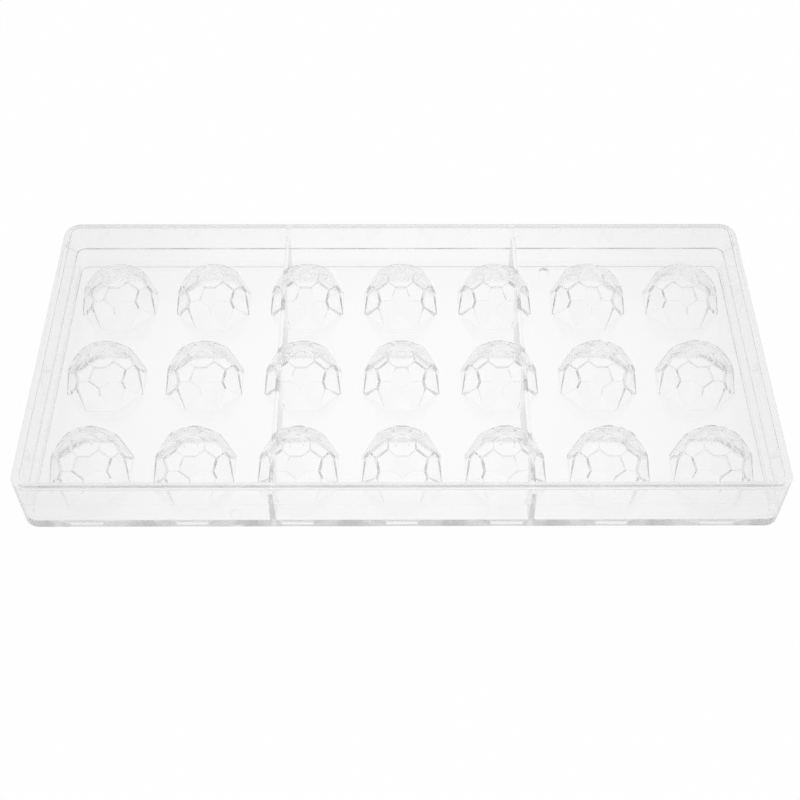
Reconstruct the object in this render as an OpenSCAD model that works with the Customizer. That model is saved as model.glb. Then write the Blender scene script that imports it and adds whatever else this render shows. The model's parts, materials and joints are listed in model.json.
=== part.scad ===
// Chocolate mould: one clear polycarbonate moulding with gem-shaped cavities.
// It lies upside down, as it is put away: the working face with the mouths of
// the cavities is down at z = 0, and the open skirt points up. +X runs along
// the long side, +Y along the short side, and the origin is the middle of the
// working face.

/* [Frame] */
// Overall length over the rim, along X
mould_l = 275; // [272:1:320]
// Overall width over the rim, along Y
mould_w = 135; // [133:1:170]
// Overall height, from the working face to the top of the rim
mould_h = 24; // [21:0.5:40]
// Corner radius of the rim, seen from above
corner_r = 6.5; // [5:0.5:12]

/* [Plate and skirt] */
// Thickness of the plate between the cavities
plate_t = 2.4; // [1.8:0.1:4]
// Thickness of the skirt wall at its rim
wall_t = 3.1; // [2.6:0.1:4.2]
// How far the outside of the skirt leans in, from the rim down to the working face
skirt_lean = 0.5; // [0:0.1:1]
// Radius of the outer edge round the working face
foot_r = 0.5; // [0.2:0.1:1.2]
// Radius of the fillet where the skirt meets the plate inside
inner_fillet_r = 0.8; // [0.3:0.1:1.5]
// Height of the fine step that runs round the inside of the skirt
step_z = 12.4; // [8:0.2:18]
// Depth of that step
step_d = 0.4; // [0.1:0.05:0.5]

/* [Rim] */
// Width of the outer ledge on which the next mould stacks
ledge_w = 0.9; // [0.5:0.1:1.2]
// Height of the inner lip over that ledge
lip_h = 0.55; // [0.4:0.05:1.5]
// How far the outside of the lip leans in over that height, to centre the next mould
lip_taper = 0.8; // [0.3:0.1:1]
// Radius of the edges of the ledge and the lip
rim_edge_r = 0.2; // [0.1:0.05:0.25]

/* [Cross ribs] */
// Distance of each cross rib from the middle of the mould
rib_x = 46.6; // [45:0.2:48]
// Thickness of a rib at its top
rib_t = 1.6; // [1:0.1:3]
// How much thicker a rib is at its foot
rib_taper = 0.5; // [0:0.1:1.5]
// Height of a rib's top over the working face
rib_top = 19; // [18.5:0.25:20]

/* [Cavities] */
// Number of cavities along the mould
cols = 7; // [1:1:7]
// Number of rows of cavities
rows = 3; // [1:1:3]
// Spacing of the cavities along X
col_pitch = 38.4; // [37:0.2:38.8]
// Spacing of the rows along Y
row_pitch = 42.6; // [38:0.2:43]
// Depth of a cavity, from the working face to its flat table
cavity_h = 15.6; // [14:0.1:16]
// Radius of the mouth of a cavity, out to its corners
mouth_r = 14.8; // [14:0.1:15.2]
// Radius of the flat table, out to its corners
table_r = 5.1; // [4:0.1:5.6]
// Radius of the ring of corners under the table
crown_r = 9.3; // [8.6:0.1:9.8]
// Height of that ring over the working face
crown_z = 13; // [12.2:0.1:13.2]
// Height of the low corners, from which tall narrow facets run down to the mouth
waist_z = 9; // [8:0.2:10.4]
// Thickness of the shell over a cavity
shell_t = 2.1; // [1.6:0.1:2.4]

/* [Ejector marks] */
// Diameter of the round mark that an ejector pin leaves on a table
pin_d = 5.6; // [3:0.2:5.6]
// Depth of such a mark
pin_depth = 0.35; // [0.1:0.05:0.6]
// Diameter of the two marks on the plate
plate_pin_d = 5.4; // [4:0.2:5.4]
// Depth of the marks on the plate
plate_pin_depth = 0.7; // [0.2:0.05:0.9]
// How far the side of a mark leans out from upright, in degrees
pin_draft = 55; // [30:5:60]
// Distance of each mark on the plate from the middle, along X
pin_x = 60.3; // [56:0.1:64]
// Distance of each mark on the plate from the inside of the skirt, along Y
pin_gap = 3.9; // [3.9:0.1:4.5]

/* [Hidden] */

// A cavity has eight sides, with a corner every 45 degrees
sides = 8;
turn = 360 / sides;
half_turn = turn / 2;
flat = cos(half_turn);

// Facets of the small rounded edges and fillets
edge_steps = 4;
// Length by which a cut runs past the face that it opens
past = 1;

// Half lengths of the rectangle that joins the centres of the four corners
path_x = mould_l / 2 - corner_r;
path_y = mould_w / 2 - corner_r;

// Distances of the walls from that rectangle
ledge_z = mould_h - lip_h;
lip_r = corner_r - ledge_w - lip_taper;
lip_lean = atan2(lip_taper, lip_h);
lip_edge_r = lip_r - rim_edge_r * tan((90 - lip_lean) / 2);
inner_r = corner_r - wall_t;

// Points of a quarter round about [r, z], from one angle to another
function arc(r, z, radius, from, to) =
    [for (i = [0:edge_steps])
        let (a = from + (to - from) * i / edge_steps)
        [r + radius * cos(a), z + radius * sin(a)]];

// Outline of the solid block, as [distance outwards, height] from the foot up
function outside() = concat(
    [[0, 0]],
    arc(corner_r - skirt_lean - foot_r, foot_r, foot_r, -90, 0),
    arc(corner_r - rim_edge_r, ledge_z - rim_edge_r, rim_edge_r, 0, 90),
    [[lip_r + lip_taper, ledge_z]],
    arc(lip_edge_r, mould_h - rim_edge_r, rim_edge_r, lip_lean, 90),
    [[0, mould_h]]);

// Outline of the pocket inside the skirt, from the plate up
function inside() = concat(
    [[0, plate_t]],
    arc(inner_r - step_d - inner_fillet_r, plate_t + inner_fillet_r, inner_fillet_r, -90, 0),
    [[inner_r - step_d, step_z], [inner_r, step_z + step_d]],
    [[inner_r, mould_h - rim_edge_r], [inner_r + rim_edge_r, mould_h]],
    [[inner_r + rim_edge_r, mould_h + past], [0, mould_h + past]]);

// A block with rounded corners whose edge has the given outline all round
module rounded_block(outline) {
    low = outline[0][1];
    high = outline[len(outline) - 1][1];
    translate([-path_x, -path_y, low])
        cube([2 * path_x, 2 * path_y, high - low]);
    for (k = [0:3]) {
        along = k % 2 == 0 ? path_x : path_y;
        across = k % 2 == 0 ? path_y : path_x;
        rotate(90 * k) translate([along, across, 0]) {
            rotate_extrude(angle = 90) polygon(outline);
            rotate([90, 0, 0]) linear_extrude(2 * across) polygon(outline);
        }
    }
}

module tray() {
    difference() {
        rounded_block(outside());
        rounded_block(inside());
    }
}

// One thin rib on each side, from the front wall to the back wall
module ribs() {
    foot_z = plate_t / 2;
    foot_half = (rib_t + rib_taper) / 2;
    reach = path_y + inner_r + wall_t / 2;
    for (side = [-1, 1])
        translate([side * rib_x, reach, 0])
            rotate([90, 0, 0])
                linear_extrude(2 * reach)
                    polygon([[-foot_half, foot_z], [foot_half, foot_z],
                             [rib_t / 2, rib_top], [-rib_t / 2, rib_top]]);
}

module at_cavities() {
    for (i = [0:cols - 1], j = [0:rows - 1])
        translate([(i - (cols - 1) / 2) * col_pitch, (j - (rows - 1) / 2) * row_pitch, 0])
            children();
}

// A facet's slope line through two of its points [r, z], as [outward normal, offset]
function slope_line(a, b) =
    let (d = b - a, n = [-d[1], d[0]] / norm(d))
    [n, n * a];

// The same line moved outwards
function moved(line, t) = [line[0], line[1] + t];

// Where a line stands at a height
function line_r(line, z) = (line[1] - line[0][1] * z) / line[0][0];

// Where two lines meet, with the radii of the first one measured at its flats
function meet(at_flat, at_corner) =
    let (a = at_flat[0][0] * flat, b = at_flat[0][1],
         c = at_corner[0][0], d = at_corner[0][1],
         det = a * d - b * c)
    [(at_flat[1] * d - b * at_corner[1]) / det, (a * at_corner[1] - c * at_flat[1]) / det];

// The gem is set by its table, crown corners, waist and mouth, [r, z] each. Eight
// five-sided facets run down from the edges of the table, and eight long kites run
// up from the corners of the mouth to the crown corners. Two kites share an edge
// from a tip of the five-sided facets down to the waist, where a triangle starts.
inner_star_line = slope_line([table_r * flat, cavity_h], [crown_r * flat, crown_z]);
inner_kite_line = slope_line([crown_r, crown_z], [mouth_r, 0]);
cavity_table = [table_r, cavity_h];
cavity_crown = [crown_r, crown_z];
cavity_waist = [line_r(inner_kite_line, waist_z) / flat, waist_z];
cavity_mouth = [mouth_r, 0];
inner_low_line = slope_line(cavity_waist, [mouth_r * flat, 0]);

// The shell follows the facets of the cavity at a constant distance
star_line = moved(inner_star_line, shell_t);
kite_line = moved(inner_kite_line, shell_t);
shell_table = [line_r(star_line, cavity_h + shell_t) / flat, cavity_h + shell_t];
shell_crown = meet(star_line, kite_line);
shell_waist = meet(kite_line, moved(inner_low_line, shell_t));
shell_mouth = [line_r(kite_line, plate_t), plate_t];

// The low tips of the five-sided facets, which keep all facets flat
function tips(table, crown, mouth) =
    let (k = (crown[0] - mouth[0]) / (crown[1] - mouth[1]),
         dr = (crown[0] - table[0]) * flat * flat,
         dz = crown[1] - table[1],
         s = (mouth[0] + k * (table[1] - mouth[1]) - table[0] * flat * flat) / (dr - k * dz))
    [(table[0] + s * (crown[0] - table[0])) * flat, table[1] + s * dz];

function ring(p, start) =
    [for (i = [0:sides - 1]) [p[0] * cos(start + i * turn), p[0] * sin(start + i * turn), p[1]]];

// Rings of corners from the bottom up: 0 foot, 1 mouth, 2 waist, 3 tips, 4 crown, 5 table
module gem(table, crown, waist, mouth, sink) {
    function at(level, i) = level * sides + i % sides;
    points = concat(
        ring([mouth[0], mouth[1] - sink], half_turn),
        ring(mouth, half_turn),
        ring(waist, turn),
        ring(tips(table, crown, mouth), turn),
        ring(crown, half_turn),
        ring(table, half_turn));
    each_side = [0:sides - 1];
    faces = concat(
        [[for (i = each_side) at(0, i)]],
        [for (i = each_side) [at(0, i + 1), at(0, i), at(1, i), at(1, i + 1)]],
        [for (i = each_side) [at(1, i + 1), at(1, i), at(2, i)]],
        [for (i = each_side)
            [at(1, i + 1), at(2, i), at(3, i), at(4, i + 1), at(3, i + 1), at(2, i + 1)]],
        [for (i = each_side) [at(4, i + 1), at(3, i), at(4, i), at(5, i), at(5, i + 1)]],
        [[for (i = each_side) at(5, sides - 1 - i)]]);
    polyhedron(points, faces);
}

module shell_gem() {
    gem(shell_table, shell_crown, shell_waist, shell_mouth, plate_t / 2);
}

module cavity_gem() {
    gem(cavity_table, cavity_crown, cavity_waist, cavity_mouth, past);
}

// Shallow round marks on the table of each shell and at two places on the plate
module pin_marks() {
    at_cavities() pin_mark(cavity_h + shell_t, pin_d, pin_depth);
    for (side = [-1, 1])
        translate([side * pin_x, side * (path_y + inner_r - pin_gap), 0])
            pin_mark(plate_t, plate_pin_d, plate_pin_depth);
}

// A dish whose side runs out to diameter d at the face
module pin_mark(face_z, d, depth) {
    outer = d / 2;
    inner = outer - depth * tan(pin_draft);
    translate([0, 0, face_z])
        rotate_extrude($fn = 48)
            polygon([[0, -depth], [inner, -depth], [outer, 0], [outer, past], [0, past]]);
}

module mould() {
    color([0.93, 0.95, 0.96, 0.45])
        difference() {
            union() {
                tray();
                ribs();
                at_cavities() shell_gem();
            }
            at_cavities() cavity_gem();
            pin_marks();
        }
}

mould();
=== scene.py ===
"""Blender scene of a clear chocolate mould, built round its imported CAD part.

The mould lies upside down on a white table, as it is put away. All of it is
one injection moulding in clear polycarbonate, so the scene dresses one piece.
Lengths are in metres unless a name ends in _mm.
"""

import json
import logging
import math
from dataclasses import dataclass, field
from enum import Enum

import bpy
from mathutils import Matrix, Vector

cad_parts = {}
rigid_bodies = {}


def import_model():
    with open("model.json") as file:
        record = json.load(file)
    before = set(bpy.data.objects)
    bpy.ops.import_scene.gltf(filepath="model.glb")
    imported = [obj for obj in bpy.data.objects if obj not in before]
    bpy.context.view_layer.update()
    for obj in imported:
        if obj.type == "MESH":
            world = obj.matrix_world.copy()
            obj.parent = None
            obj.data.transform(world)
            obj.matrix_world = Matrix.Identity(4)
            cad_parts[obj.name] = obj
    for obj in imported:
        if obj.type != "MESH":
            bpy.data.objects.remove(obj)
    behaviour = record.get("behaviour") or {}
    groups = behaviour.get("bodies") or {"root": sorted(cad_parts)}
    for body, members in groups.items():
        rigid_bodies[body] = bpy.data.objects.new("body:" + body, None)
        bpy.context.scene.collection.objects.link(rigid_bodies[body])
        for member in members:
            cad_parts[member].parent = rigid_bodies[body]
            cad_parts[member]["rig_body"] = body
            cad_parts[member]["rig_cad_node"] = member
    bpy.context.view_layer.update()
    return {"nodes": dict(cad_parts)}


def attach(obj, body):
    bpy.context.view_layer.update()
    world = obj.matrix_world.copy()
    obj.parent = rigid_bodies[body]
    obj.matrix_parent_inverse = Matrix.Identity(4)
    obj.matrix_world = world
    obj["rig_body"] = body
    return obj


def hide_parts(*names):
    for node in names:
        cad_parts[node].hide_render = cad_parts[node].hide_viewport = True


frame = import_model()

MM = 0.001
WHITE = "#FFFFFF"
log = logging.getLogger("chocolate_mould")


def to_linear(hex_colour: str) -> tuple[float, float, float, float]:
    """Turns an sRGB colour into the linear one that a shader takes, by the sRGB curve.

    Args:
        hex_colour: the colour as six hex digits, with or without a leading #.

    Returns:
        Linear red, green, blue and an alpha of 1.
    """
    digits = hex_colour.lstrip("#")
    shares = [int(digits[i:i + 2], 16) / 255 for i in (0, 2, 4)]
    linear = [c / 12.92 if c <= 0.04045 else ((c + 0.055) / 1.055) ** 2.4 for c in shares]
    return linear[0], linear[1], linear[2], 1.0


def add_node(tree: bpy.types.NodeTree, kind: str, inputs: dict | None = None,
             **settings: object) -> bpy.types.Node:
    """Adds one node, sets its properties and fills or links its inputs.

    Args:
        tree: the node tree that takes the node.
        kind: the type of the node, such as ShaderNodeMath.
        inputs: for each socket, by name or number, a constant or the output
            socket that is linked to it.
        settings: properties of the node, such as its operation.

    Returns:
        The new node.
    """
    node = tree.nodes.new(kind)
    for name, value in settings.items():
        setattr(node, name, value)
    for socket, value in (inputs or {}).items():
        if isinstance(value, bpy.types.NodeSocket):
            tree.links.new(value, node.inputs[socket])
        else:
            node.inputs[socket].default_value = value
    return node


def grey_ramp(tree: bpy.types.NodeTree, factor: bpy.types.NodeSocket,
              stops: list[tuple[float, str]]) -> bpy.types.NodeSocket:
    """Adds a colour ramp with the given stops.

    Args:
        tree: the node tree that takes the ramp.
        factor: the output that drives the ramp, from 0 to 1.
        stops: the place and the colour of each stop, in order.

    Returns:
        The colour output of the ramp.
    """
    ramp = add_node(tree, "ShaderNodeValToRGB", {"Fac": factor})
    colours = ramp.color_ramp.elements
    while len(colours) < len(stops):
        colours.new(1.0)
    for element, (place, grey) in zip(colours, stops):
        element.position = place
        element.color = to_linear(grey)
    return ramp.outputs["Color"]


def empty_material(name: str) -> bpy.types.Material:
    """Makes a material with no nodes in it.

    Args:
        name: what the material is.

    Returns:
        The material.
    """
    material = bpy.data.materials.new(name)
    material.use_nodes = True
    material.node_tree.nodes.clear()
    return material


@dataclass(frozen=True)
class ClearPolycarbonate:
    """Clear polycarbonate, injection moulded in a polished steel tool.

    It passes nearly all light and bends it more than acrylic does, so every
    edge shows as a fine grey line. Fine wear from the scraper and the washer
    softens what is seen through it a little. It is thin and has no tint.
    """

    name: str = "clear_polycarbonate_moulded"
    colour: str = WHITE
    roughness: float = 0.12
    ior: float = 1.585

    def make(self) -> bpy.types.Material:
        """Makes the material.

        Returns:
            The material, all of it in its surface.
        """
        material = empty_material(self.name)
        tree = material.node_tree
        surface = add_node(tree, "ShaderNodeBsdfPrincipled", {
            "Base Color": to_linear(self.colour),
            "Roughness": self.roughness,
            "IOR": self.ior,
            "Transmission Weight": 1.0,
        })
        add_node(tree, "ShaderNodeOutputMaterial", {"Surface": surface.outputs["BSDF"]})
        return material


class Ray(Enum):
    """Kinds of ray that can meet the table, by their Light Path output."""

    CAMERA = "Is Camera Ray"
    GLOSSY = "Is Glossy Ray"
    TRANSMISSION = "Is Transmission Ray"


@dataclass(frozen=True)
class WhiteLaminate:
    """Matt white laminate of a photographer's table, lit to white.

    The table glows: seen directly it is all white, but what the plastic shows
    of it is a painted pool of light, standing in for lamps aimed at the middle
    of the mould, that fades towards the ends. Each painted stop is a distance
    from the middle in millimetres, and the grey there. A small share of the
    matt surface stays in view and takes the mould's shadow.
    """

    name: str = "white_laminate_table"
    colour: str = "#F4F4F4"
    white_share: float = 0.98
    white_for: tuple[Ray, ...] = (Ray.CAMERA, Ray.GLOSSY, Ray.TRANSMISSION)
    # Painted light: the grey of the table's glow at each distance from the middle.
    painted_falloff: tuple[tuple[float, str], ...] = (
        (0.0, WHITE), (50.0, "#FEFEFE"), (100.0, "#FBFBFB"), (140.0, "#F4F4F4"),
        (200.0, "#F2F2F2"),
    )

    def make(self) -> bpy.types.Material:
        """Makes the material.

        Returns:
            The material: the table's own shading, most of which gives way to a glow
            where the camera sees it: plain white directly, a painted pool of light in the plastic.
        """
        material = empty_material(self.name)
        tree = material.node_tree
        path = add_node(tree, "ShaderNodeLightPath")
        matt = add_node(tree, "ShaderNodeBsdfDiffuse", {"Color": to_linear(self.colour)})
        # Painted pool of light: full white for camera rays, the painted fade for the rest.
        strength = add_node(tree, "ShaderNodeMath", {
            0: path.outputs[Ray.CAMERA.value], 1: self.painted_light_pool(tree),
        }, operation="MAXIMUM")
        white = add_node(tree, "ShaderNodeEmission", {
            "Color": to_linear(WHITE), "Strength": strength.outputs[0],
        })
        seen = path.outputs[self.white_for[0].value]
        for ray in self.white_for[1:]:
            seen = add_node(tree, "ShaderNodeMath", {
                0: path.outputs[ray.value], 1: seen,
            }, operation="MAXIMUM").outputs[0]
        share = add_node(tree, "ShaderNodeMath", {0: seen, 1: self.white_share},
                         operation="MULTIPLY")
        mixed = add_node(tree, "ShaderNodeMixShader", {
            0: share.outputs[0], 1: matt.outputs["BSDF"], 2: white.outputs["Emission"],
        })
        add_node(tree, "ShaderNodeOutputMaterial", {"Surface": mixed.outputs["Shader"]})
        return material

    def painted_light_pool(self, tree: bpy.types.NodeTree) -> bpy.types.NodeSocket:
        """Adds the nodes for the painted pool of light, which fades from the middle.

        Args:
            tree: the node tree of the material.

        Returns:
            The output with the painted light at each place.
        """
        reach = self.painted_falloff[-1][0] * MM
        place = add_node(tree, "ShaderNodeTexCoord")
        distance = add_node(tree, "ShaderNodeVectorMath", {0: place.outputs["Object"]},
                            operation="LENGTH")
        part = add_node(tree, "ShaderNodeMapRange", {
            "Value": distance.outputs["Value"], "From Min": 0.0, "From Max": reach,
        })
        return grey_ramp(tree, part.outputs["Result"],
                         [(far * MM / reach, grey) for far, grey in self.painted_falloff])


@dataclass
class MouldBody:
    """The whole moulding: tray, cross ribs and gem-shaped shells in one piece.

    The CAD solid has sharp facets. A steel tool is polished by hand, which
    leaves each of them with a small round, and the light catches on it.
    """

    name: str = "mould_body"
    node: str = "mould"
    slot: str = "clear_polycarbonate"
    finish: ClearPolycarbonate = field(default_factory=ClearPolycarbonate)
    merge_mm: float = 0.004
    flat_deg: float = 0.4
    round_mm: float = 0.1
    round_steps: int = 2
    edge_deg: float = 12.0

    def build(self) -> bpy.types.Object:
        """Makes the piece from a copy of the CAD solid.

        Returns:
            The piece, in place of the CAD node.
        """
        piece = self.copy_of_node()
        self.merge(piece)
        self.round_edges(piece)
        bpy.ops.object.shade_flat()
        log.info("%s has %d faces", piece.name, len(piece.data.polygons))
        piece.data.materials.clear()
        piece.data.materials.append(self.finish.make())
        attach(piece, "root")
        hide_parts(self.node)
        return piece

    def copy_of_node(self) -> bpy.types.Object:
        """Copies the CAD node, with a mesh of its own and without the node's labels.

        Returns:
            The copy, which is then the active object and the only selected one.
        """
        bpy.ops.object.select_all(action="DESELECT")
        source = frame["nodes"][self.node]
        piece = source.copy()
        piece.data = source.data.copy()
        piece.name = self.name
        piece.data.name = self.name
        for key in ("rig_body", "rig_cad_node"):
            if key in piece:
                del piece[key]
        piece.parent = None
        bpy.context.scene.collection.objects.link(piece)
        piece.select_set(True)
        bpy.context.view_layer.objects.active = piece
        return piece

    def merge(self, piece: bpy.types.Object) -> None:
        """Joins the loose triangles into whole faces.

        Args:
            piece: not used; the operators act on the copy of the CAD node, which is the active
                object.
        """
        bpy.ops.object.mode_set(mode="EDIT")
        bpy.ops.mesh.select_all(action="SELECT")
        bpy.ops.mesh.remove_doubles(threshold=self.merge_mm * MM)
        bpy.ops.mesh.dissolve_limited(angle_limit=math.radians(self.flat_deg))
        bpy.ops.mesh.normals_make_consistent(inside=False)
        bpy.ops.object.mode_set(mode="OBJECT")

    def round_edges(self, piece: bpy.types.Object) -> None:
        """Rounds the edges between facets.

        Args:
            piece: the merged piece.
        """
        bevel = piece.modifiers.new("polished_edges", "BEVEL")
        bevel.width = self.round_mm * MM
        bevel.segments = self.round_steps
        bevel.limit_method = "ANGLE"
        bevel.angle_limit = math.radians(self.edge_deg)
        bpy.ops.object.modifier_apply(modifier=bevel.name)


@dataclass
class Table:
    """The photographer's white table under the mould.

    It is so wide that its edge lies at the horizon, where it meets the white
    backdrop unseen. The gap keeps it clear of the working face.
    """

    side: float = 40.0
    gap_mm: float = 0.05
    finish: WhiteLaminate = field(default_factory=WhiteLaminate)

    def build(self) -> bpy.types.Object:
        """Makes the table top, just under the working face.

        Returns:
            The table top, which isn't part of the object.
        """
        bpy.ops.object.select_all(action="DESELECT")
        bpy.ops.mesh.primitive_plane_add(size=self.side, location=(0, 0, -self.gap_mm * MM))
        bpy.ops.object.transform_apply(location=True, rotation=True, scale=True)
        table = bpy.context.object
        table.name = "table_top"
        table.data.materials.append(self.finish.make())
        return table


@dataclass(frozen=True)
class Room:
    """Soft light of a white room: a little dimmer on the camera's side.

    The stops are (how far a direction points along the axis, grey). The
    camera itself sees a plain white backdrop behind the table.
    """

    name: str = "soft_room_light"
    axis: tuple[float, float, float] = (0.0, 0.8, -0.6)
    stops: tuple[tuple[float, str], ...] = (
        (-1.0, "#C8C8C8"), (-0.6, "#E0E0E0"), (0.0, "#F0F0F0"), (1.0, "#FAFAFA"),
    )

    def build(self) -> bpy.types.World:
        """Makes the world light.

        Returns:
            The world, set on the scene.
        """
        world = bpy.data.worlds.new(self.name)
        world.use_nodes = True
        tree = world.node_tree
        tree.nodes.clear()
        direction = add_node(tree, "ShaderNodeTexCoord")
        along = add_node(tree, "ShaderNodeVectorMath", {
            0: direction.outputs["Generated"], 1: self.axis,
        }, operation="DOT_PRODUCT")
        position = add_node(tree, "ShaderNodeMapRange", {
            "Value": along.outputs["Value"], "From Min": -1.0, "From Max": 1.0,
        })
        greys = grey_ramp(tree, position.outputs["Result"],
                          [((place + 1) / 2, grey) for place, grey in self.stops])
        light = add_node(tree, "ShaderNodeBackground", {"Color": greys, "Strength": 1.0})
        backdrop = add_node(tree, "ShaderNodeBackground",
                            {"Color": to_linear(WHITE), "Strength": 1.0})
        path = add_node(tree, "ShaderNodeLightPath")
        seen = add_node(tree, "ShaderNodeMixShader", {
            0: path.outputs[Ray.CAMERA.value], 1: light.outputs["Background"],
            2: backdrop.outputs["Background"],
        })
        add_node(tree, "ShaderNodeOutputWorld", {"Surface": seen.outputs["Shader"]})
        bpy.context.scene.world = world
        return world


@dataclass(frozen=True)
class PhotoCamera:
    """The photograph's camera, from a fit to the rim, the foot and the facets."""

    place_mm: tuple[float, float, float] = (-3.566, -343.192, 404.825)
    pitch_deg: float = 50.323
    yaw_deg: float = 0.521
    roll_deg: float = 0.323
    focus_px: float = 1347.857
    image_px: float = 800.0
    sensor_mm: float = 36.0
    nearest: float = 0.01
    farthest: float = 50.0

    def build(self) -> bpy.types.Object:
        """Makes the camera and gives it to the scene.

        Returns:
            The camera.
        """
        pitch, yaw, roll = (math.radians(a) for a in (self.pitch_deg, self.yaw_deg, self.roll_deg))
        ahead = Vector((math.sin(yaw) * math.cos(pitch), math.cos(yaw) * math.cos(pitch),
                        -math.sin(pitch)))
        right = Vector((math.cos(yaw), -math.sin(yaw), 0))
        up = right.cross(ahead)
        rolled_right = right * math.cos(roll) + up * math.sin(roll)
        rolled_up = up * math.cos(roll) - right * math.sin(roll)
        matrix = Matrix((rolled_right, rolled_up, -ahead)).transposed().to_4x4()
        matrix.translation = Vector(self.place_mm) * MM
        data = bpy.data.cameras.new("photo_camera")
        data.sensor_width = self.sensor_mm
        data.lens = self.focus_px * self.sensor_mm / self.image_px
        data.clip_start = self.nearest
        data.clip_end = self.farthest
        camera = bpy.data.objects.new("photo_camera", data)
        bpy.context.scene.collection.objects.link(camera)
        camera.matrix_world = matrix
        bpy.context.scene.camera = camera
        return camera


@dataclass(frozen=True)
class LightPaths:
    """How far light is followed. The plate guides it from wall to wall."""

    bounces: int = 200

    def build(self) -> None:
        """Sets the view and the number of bounces."""
        scene = bpy.context.scene
        scene.view_settings.view_transform = "Standard"
        cycles = scene.cycles
        cycles.max_bounces = self.bounces
        cycles.transmission_bounces = self.bounces
        cycles.glossy_bounces = self.bounces


def main() -> None:
    """Builds the scene, piece by piece."""
    logging.basicConfig(level=logging.INFO, format="%(name)s: %(message)s")
    body = MouldBody().build()
    log.info("built %s", body.name)
    table = Table().build()
    log.info("built %s", table.name)
    Room().build()
    PhotoCamera().build()
    LightPaths().build()
    log.info("built the room and the camera")


if __name__ == "__main__":
    main()
